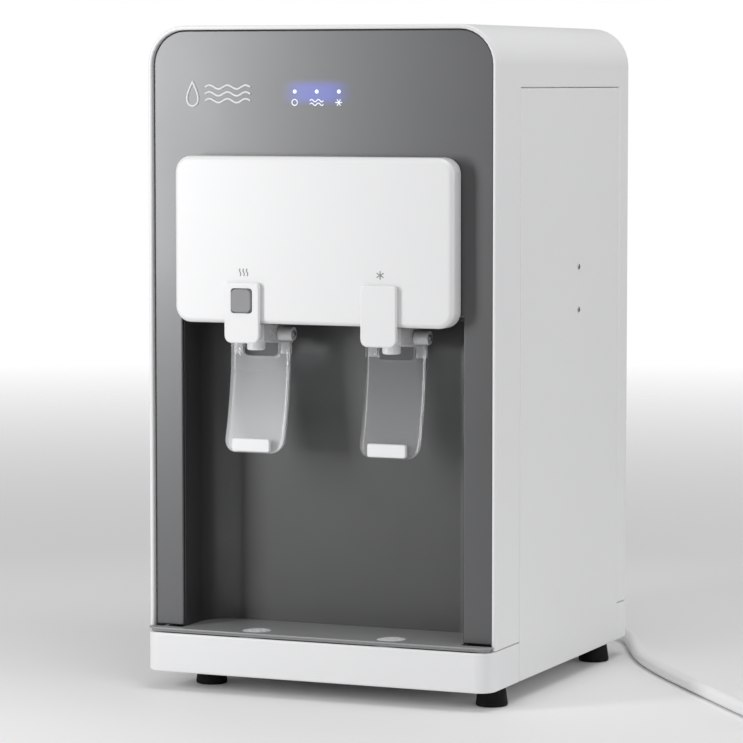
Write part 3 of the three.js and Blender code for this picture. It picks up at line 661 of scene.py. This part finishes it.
# Faces below the lip get the black finish: painted shade for the shadow gap under the lid's front edge.
def painted_shadow_lip(bm):
    lip_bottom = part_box("tray_lid")[1].z - LID_LIP
    for face in bm.faces:
        face.material_index = 1 if face.calc_center_median().z < lip_bottom else 0


refined("tray_lid", lid_grey, "lid", 0.0004, shape=painted_shadow_lip).data.materials.append(rubber_black)
refined("drip_tank", shell_white, "drip_tray", 0.0005)
refined("hot_switch", switch_red, "hot_rocker", 0.0006)
refined("cold_switch", switch_green, "cold_rocker", 0.0006)
refined("drain_plug", rubber_black, "plug", 0.0006)
refined("fan_rotor", black_plastic, "fan", 0.0003)
strainer_white = make_finish("strainer_white", (0.93, 0.94, 0.95), 0.3, shade=0.98, grain=900, bump=0.005)
for side in ("hot", "cold"):
    refined(side + "_drain_strainer", strainer_white, "lid", 0.0003)
    low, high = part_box(side + "_drain_strainer")
    x, y, reach = (low.x + high.x) / 2, (low.y + high.y) / 2, (high.x - low.x) / 2 + 0.0004
    # The black ring round the strainer is a painted shadow: it stands for the shade in the gap round the disc.
    turns = [2 * math.pi * i / 48 for i in range(48)]
    ring = [(x + reach * math.cos(a), y + reach * math.sin(a), high.z - 0.0003) for a in turns]
    drawn_lines(side + "_painted_shadow_ring", [ring], 0.0012, rubber_black, "lid", closed=(0,))
    refined(side + "_tap_body", tap_grey, "housing", 0.0007)
    refined(side + "_nozzle", nozzle_white, "housing", 0.0003)
    refined(side + "_hinge_pin", stainless, "housing", 0.0003)
    refined(side + "_lever_yoke", tap_grey, side + "_lever_set", 0.0005)
    refined(side + "_lever_pad", pad_white, side + "_lever_set", 0.0005)
    refined(side + "_valve_stem", nozzle_white, side + "_valve", 0.0003)

# %% [markdown]
# The inner parts are only seen when the housing is opened or through the slots at the back, so they get the
# right material and the smallest edge. Each tube is swept round and smooth already, so it gets no edge.

# %% Inner parts
for node, finish in (
    ("inner_frame", stainless), ("cold_tank", stainless), ("hot_tank", stainless), ("heater_band", alloy),
    ("cold_tank_foam", foam_white), ("cooling_module", alloy), ("heat_sink", alloy),
    ("fan_frame", black_plastic),
    ("feed_pump", black_plastic), ("control_board", circuit_green), ("display_board", circuit_green),
    ("power_inlet", black_plastic), ("inlet_fitting", nozzle_white), ("feed_tube", hose_milky),
    ("hot_water_tube", hose_milky), ("cold_water_tube", hose_milky),
):
    refined(node, finish, radius=0.0 if "tube" in node else 0.0004)

# %% [markdown]
# Each valve spring shortens by the valve's travel when the lever is pressed. It has one fixed end and one
# moving end. Here it stays with the housing at its rest length and gets a mesh of its own.

# %% Valve springs
for side in ("hot", "cold"):
    spring = refined(side + "_valve_spring", stainless, radius=0)
    low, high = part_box(side + "_valve_spring")
    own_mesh(spring)

# %% [markdown]
# Cross-head screws hold the sides and the back. The head is a shallow button with a cross cut into it. The
# cut is real geometry, because a bump would vanish at a low angle: the flat top is filled between a round
# outline and a cross outline, and the cross is drawn down into the head.

# %% Screws
screw_steel = make_finish("screw_steel", (0.32, 0.32, 0.33), 0.35, metallic=1.0, shade=0.85, grain=1500,
                          bump=0.02)


def screw_mesh(name, radius, spot, outward):
    bm = bmesh.new()
    sides, arm, slot, depth = 32, radius * 0.62, radius * 0.17, radius * 0.5
    rings = []
    for share, rise in ((1.0, -0.0002), (1.0, 0.1 * radius), (0.93, 0.26 * radius), (0.8, 0.36 * radius)):
        rings.append([bm.verts.new((share * radius * math.cos(2 * math.pi * i / sides),
                                    share * radius * math.sin(2 * math.pi * i / sides), rise))
                      for i in range(sides)])
    for low, high in zip(rings, rings[1:]):
        for i in range(sides):
            bm.faces.new((low[i], low[(i + 1) % sides], high[(i + 1) % sides], high[i]))
    bm.faces.new(rings[0][::-1])
    corners = [(arm, -slot), (arm, slot), (slot, slot), (slot, arm), (-slot, arm), (-slot, slot),
               (-arm, slot), (-arm, -slot), (-slot, -slot), (-slot, -arm), (slot, -arm), (slot, -slot)]
    cross = [bm.verts.new((a, b, 0.36 * radius)) for a, b in corners]
    floor = [bm.verts.new((a * 0.8, b * 0.8, 0.36 * radius - depth)) for a, b in corners]
    count = len(corners)
    for i in range(count):
        bm.faces.new((cross[i], cross[(i + 1) % count], floor[(i + 1) % count], floor[i]))
    bm.faces.new(floor)
    bm.edges.ensure_lookup_table()
    outline = [e for e in bm.edges if all(v in rings[-1] for v in e.verts) or all(v in cross for v in e.verts)]
    bmesh.ops.triangle_fill(bm, edges=outline, use_beauty=True)
    turn = Vector(outward).to_track_quat("Z", "Y").to_matrix().to_4x4()
    bmesh.ops.transform(bm, matrix=Matrix.Translation(spot) @ turn, verts=bm.verts)
    return to_mesh(name, bm)


def place_screws(group, radius, outward, spots):
    for number, spot in enumerate(spots):
        name = f"{group}_screw_{number}"
        shade(add_piece(name, screw_mesh(name, radius, spot, outward), screw_steel, "housing"))
    print(group, "screws:", len(spots))


side_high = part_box("side_panel_right")[1]
screw_y = side_high.y - 0.0857
for group, x, outward in (("right", side_high.x, (1, 0, 0)), ("left", -side_high.x, (-1, 0, 0))):
    spots = [(x, screw_y, side_high.z - drop) for drop in (0.1247, 0.1547)]
    place_screws(group, 0.0019, outward, spots)
back_low, back_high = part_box("back_panel")
back_spots = [(x, back_high.y, z) for x in (back_low.x + 0.011, back_high.x - 0.011)
              for z in (back_low.z + 0.03, (back_low.z + back_high.z) / 2, back_high.z - 0.035)]
place_screws("back", 0.0034, (0, 1, 0), back_spots)

# %% [markdown]
# Each rocker switch sits in a snap-in bezel, and its two ends carry the usual line and ring for on and off.
# The bezel is a rounded frame: an outer and an inner outline joined by four walls, so the rocker stays free.

# %% Switch bezels and marks
def frame_mesh(name, inner, outer, low_y, high_y, corner=0.0012, steps=5):
    def outline(box, y):
        (x0, z0), (x1, z1) = box
        loop = []
        for cx, cz, start in ((x1 - corner, z1 - corner, 0), (x0 + corner, z1 - corner, 90),
                              (x0 + corner, z0 + corner, 180), (x1 - corner, z0 + corner, 270)):
            for i in range(steps + 1):
                a = math.radians(start + 90 * i / steps)
                loop.append(bm.verts.new((cx + corner * math.cos(a), y, cz + corner * math.sin(a))))
        return loop

    bm = bmesh.new()
    loops = [outline(outer, low_y), outline(outer, high_y), outline(inner, high_y), outline(inner, low_y)]
    for first, second in zip(loops, loops[1:] + loops[:1]):
        for i in range(len(first)):
            j = (i + 1) % len(first)
            bm.faces.new((first[i], first[j], second[j], second[i]))
    return to_mesh(name, bm)


for side in ("hot", "cold"):
    low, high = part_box(side + "_switch")
    y = back_high.y
    inner = ((low.x - 0.0004, low.z - 0.0006), (high.x + 0.0004, high.z + 0.0006))
    outer = ((low.x - 0.0022, low.z - 0.0026), (high.x + 0.0022, high.z + 0.0026))
    bezel = frame_mesh(side + "_switch_bezel", inner, outer, y - 0.0002, y + 0.0012)
    shade(add_piece(side + "_switch_bezel", bezel, black_plastic, "housing"))


def on_back_of(node, points):
    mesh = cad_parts[node].data
    tree = BVHTree.FromPolygons([v.co for v in mesh.vertices], [tuple(p.vertices) for p in mesh.polygons])
    hits = [tree.ray_cast(Vector((x, y + 0.05, z)), Vector((0, -1, 0)))[0] for x, y, z in points]
    return [tuple(hit) for hit in hits]


for side in ("hot", "cold"):
    low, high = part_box(side + "_switch")
    x, y, quarter = (low.x + high.x) / 2, high.y, (high.z - low.z) / 4
    ring = circle_stroke((x, y, low.z + quarter), 0.0019)
    bar = [(x, y, high.z - quarter + s) for s in (-0.002, 0, 0.002)]
    drawn_lines(side + "_switch_marks", [on_back_of(side + "_switch", ring), on_back_of(side + "_switch", bar)],
                0.0006, print_white, side + "_rocker", closed=(0,))
print("switch marks drawn")

# %% [markdown]
# The studio is a pale floor that fades into a white surround, one tall soft light at the front left that the
# satin panel mirrors, one at the right, and a top light. A white surround would flood the object with light,
# so its strength is full only for the rays that come straight from the camera.

# %% Stage and lights
def make_floor():
    bm = bmesh.new()
    bmesh.ops.create_circle(bm, cap_ends=True, segments=96, radius=3.2)
    mesh = to_mesh("floor", bm)
    floor = bpy.data.objects.new("floor", mesh)
    bpy.context.scene.collection.objects.link(floor)
    material = bpy.data.materials.new("pale_floor")
    material.use_nodes = True
    tree = material.node_tree
    shader = tree.nodes["Principled BSDF"]
    shader.inputs["Base Color"].default_value = (0.88, 0.88, 0.88, 1)
    shader.inputs["Roughness"].default_value = 0.55
    coords = tree.nodes.new("ShaderNodeTexCoord").outputs["Object"]
    away = tree.nodes.new("ShaderNodeVectorMath")
    away.operation = "LENGTH"
    link(tree, coords, away.inputs[0])
    link(tree, remap(tree, away.outputs["Value"], 1.0, 0.0, 0.7, 2.8), shader.inputs["Alpha"])
    mesh.materials.append(material)


def soft_light(name, spot, target, size, power):
    data = bpy.data.lights.new(name, "AREA")
    data.shape = "RECTANGLE"
    data.size, data.size_y = size
    data.energy = power
    lamp = bpy.data.objects.new(name, data)
    lamp.location = spot
    lamp.rotation_euler = (Vector(target) - Vector(spot)).to_track_quat("-Z", "Y").to_euler()
    lamp.visible_camera = False
    bpy.context.scene.collection.objects.link(lamp)


make_floor()
world = bpy.data.worlds.new("surround")
world.use_nodes = True
sky = world.node_tree
path = sky.nodes.new("ShaderNodeLightPath")
shown = sky.nodes.new("ShaderNodeMapRange")
shown.inputs["To Min"].default_value = 0.4
shown.inputs["To Max"].default_value = 1.0
link(sky, path.outputs["Is Camera Ray"], shown.inputs["Value"])
link(sky, shown.outputs["Result"], sky.nodes["Background"].inputs["Strength"])
sky.nodes["Background"].inputs["Color"].default_value = (1, 1, 1, 1)
bpy.context.scene.world = world
bpy.context.scene.view_settings.view_transform = "Standard"
soft_light("left_softbox", (-0.615, -0.88, 0.46), (-0.1, -0.12, 0.38), (0.26, 0.6), 5.1)
soft_light("top_softbox", (0.5, -0.3, 1.85), (0, -0.1, 0.2), (1.2, 1.2), 13)
soft_light("right_softbox", (2.2, 0.2, 0.8), (0, 0, 0.2), (1.2, 1.2), 8)
